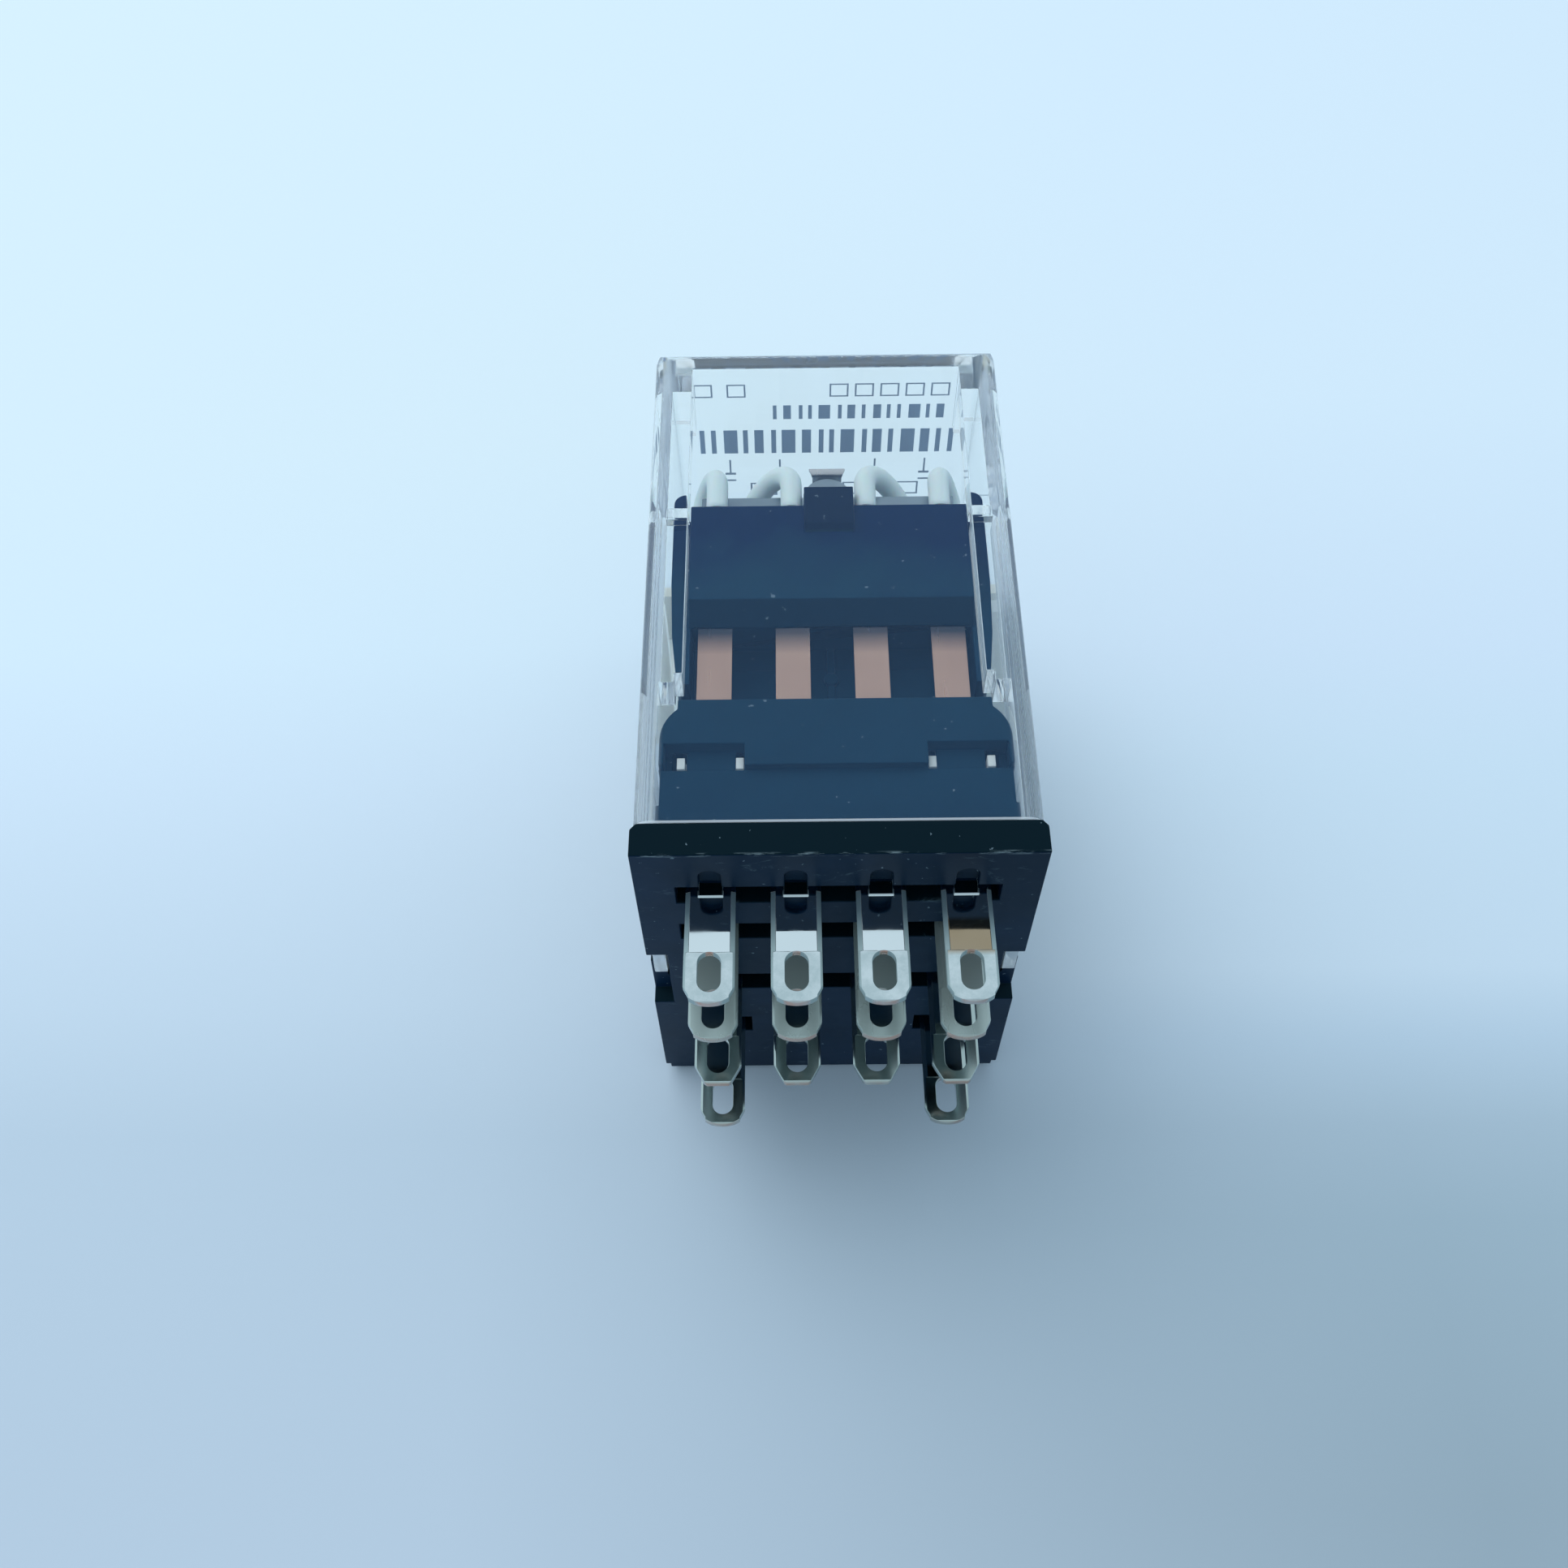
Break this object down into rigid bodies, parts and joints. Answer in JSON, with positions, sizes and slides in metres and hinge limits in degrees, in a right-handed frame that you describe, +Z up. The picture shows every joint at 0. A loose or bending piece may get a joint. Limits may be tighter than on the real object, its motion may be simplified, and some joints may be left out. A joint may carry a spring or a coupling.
{
  "type": "plug-in control relay",
  "caption": "Clear-cased plug-in control relay lying on its side, with blade terminals, moulded base and visible moving contacts.",
  "frame": {"origin": "centre of the part's plan box, on the table under the relay", "axes": "+X across the four poles, +Y from the terminals to the closed end of the cover, +Z up from the narrow face the relay lies on"},
  "size_m": [0.021, 0.0422, 0.0278],
  "materials": {
    "black_plastic": "satin moulded thermoset",
    "clear_cover": "clear polished polycarbonate",
    "tinned_brass": "bright tin plate",
    "contact_silver": "satin silver alloy",
    "cream_plastic": "semi-gloss nylon",
    "copper_wire": "enamelled copper",
    "coil_tape": "glossy tape",
    "magnet_steel": "dull nickel plate",
    "copper_alloy": "satin rolled copper alloy",
    "spring_steel": "rolled strip",
    "lead_sleeve": "soft matte sleeve",
    "board_laminate": "glass-fibre laminate",
    "capacitor_body": "glossy film-capacitor box",
    "resistor_body": "lacquer",
    "lamp_resin": "tinted clear resin"
  },
  "bodies": {
    "housing": {"base": "black_plastic", "case": "clear_cover", "nc_terminal_1": "tinned_brass", "nc_terminal_2": "tinned_brass", "nc_terminal_3": "tinned_brass", "nc_terminal_4": "tinned_brass", "no_terminal_1": "tinned_brass", "no_terminal_2": "tinned_brass", "no_terminal_3": "tinned_brass", "no_terminal_4": "tinned_brass", "com_terminal_1": "tinned_brass", "com_terminal_2": "tinned_brass", "com_terminal_3": "tinned_brass", "com_terminal_4": "tinned_brass", "coil_terminal_1": "tinned_brass", "coil_terminal_2": "tinned_brass", "nc_contacts": "contact_silver", "no_contacts": "contact_silver", "bobbin": "cream_plastic", "winding": "copper_wire", "coil_tape": "coil_tape", "core": "magnet_steel", "shading_ring": "copper_wire", "yoke": "magnet_steel", "coil_wires": "copper_wire", "return_spring": "spring_steel", "spring_rivets": "contact_silver", "lead_1": "lead_sleeve", "lead_2": "lead_sleeve", "lead_3": "lead_sleeve", "lead_4": "lead_sleeve", "indicator_board": "board_laminate", "capacitor": "capacitor_body", "resistor": "resistor_body", "lamp": "lamp_resin"},
    "armature_set": {"armature": "magnet_steel", "moving_block": "black_plastic", "spring_1": "copper_alloy", "spring_2": "copper_alloy", "spring_3": "copper_alloy", "spring_4": "copper_alloy", "moving_contacts": "contact_silver"}
  },
  "joints": [
    {"name": "armature_hinge", "type": "hinge", "parent": "housing", "child": "armature_set", "pos_m": [0, 0.01115, 0.0024], "axis": [1, 0, 0], "range_deg": [0, 2.6], "stiffness_Nm_per_rad": 0.05, "springref_deg": -5.73, "deforming": ["return_spring", "lead_1", "lead_2", "lead_3", "lead_4"]}
  ]
}
